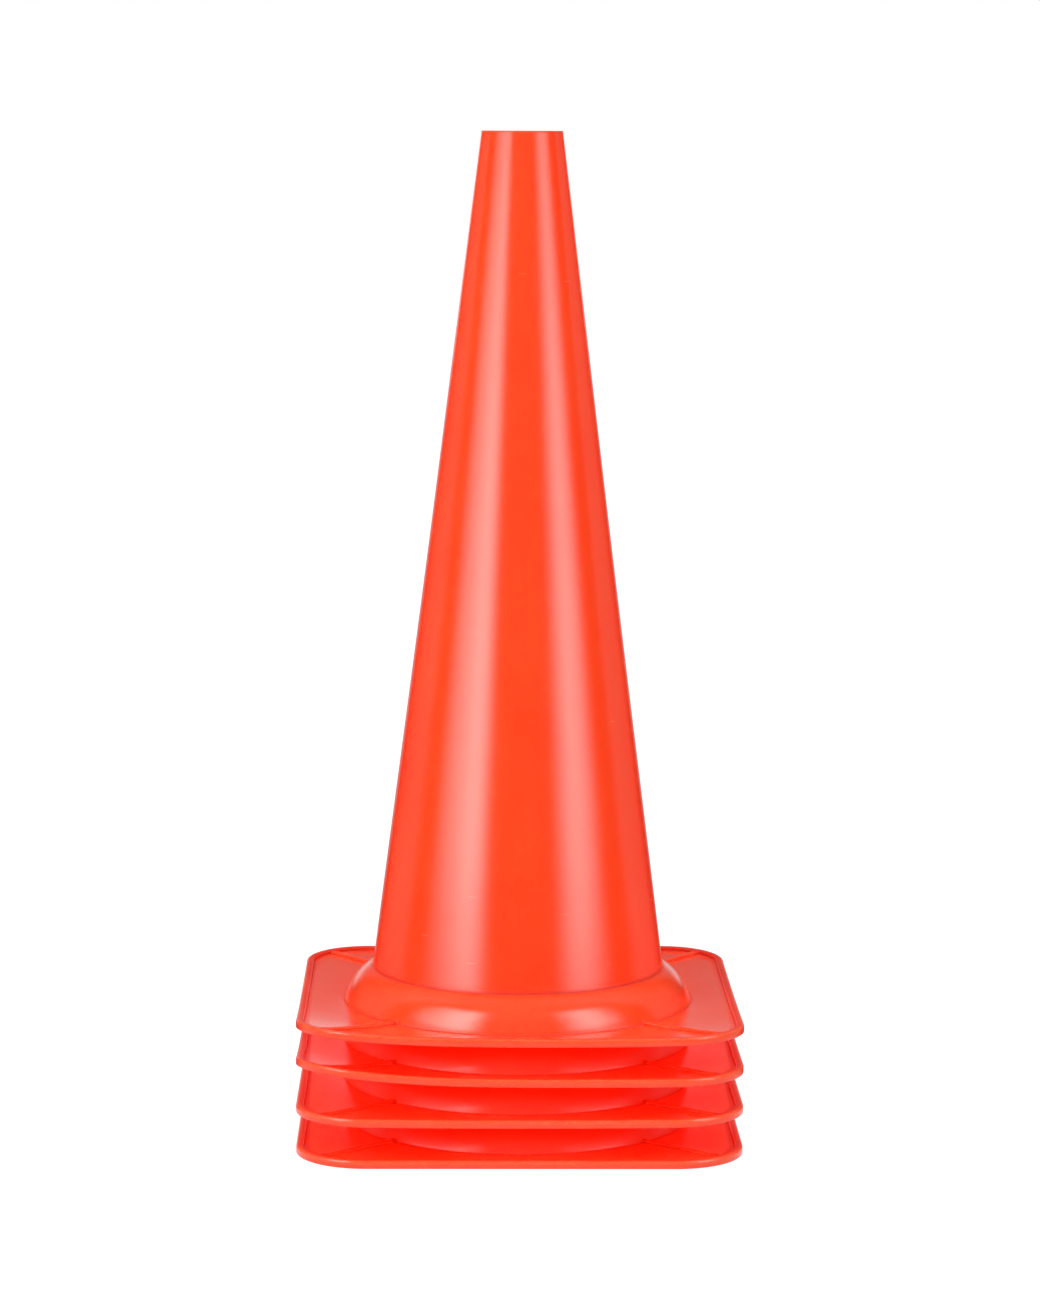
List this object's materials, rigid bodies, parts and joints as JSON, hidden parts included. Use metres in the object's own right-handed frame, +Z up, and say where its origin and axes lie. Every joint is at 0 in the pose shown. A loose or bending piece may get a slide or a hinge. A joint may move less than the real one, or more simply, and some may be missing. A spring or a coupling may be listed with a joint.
{
  "type": "sports marker cone",
  "caption": "Nested stack of tapered sports marker cones, each an open moulded wall with a rounded collar on a square ribbed base plate, and each one lifts off the cone below.",
  "frame": {"origin": "on the ground under the middle of the stack's square base", "axes": "+Z up along the cones' common axis, +X and +Y square to the sides of the base plates, -Y towards the viewer"},
  "size_m": [0.228, 0.228, 0.5168],
  "materials": {
    "cone_plastic": "smooth, slightly translucent orange-red moulded polyethylene with a soft gloss and light scuffs"
  },
  "bodies": {
    "bottom": {"bottom_cone": "cone_plastic"},
    "second": {"second_cone": "cone_plastic"},
    "third": {"third_cone": "cone_plastic"},
    "top": {"top_cone": "cone_plastic"}
  },
  "joints": [
    {"name": "lift_second", "type": "slide", "parent": "bottom", "child": "second", "axis": [0, 0, 1], "range_m": [0, 0.44]},
    {"name": "lift_third", "type": "slide", "parent": "second", "child": "third", "axis": [0, 0, 1], "range_m": [0, 0.44]},
    {"name": "lift_top", "type": "slide", "parent": "third", "child": "top", "axis": [0, 0, 1], "range_m": [0, 0.44]}
  ]
}
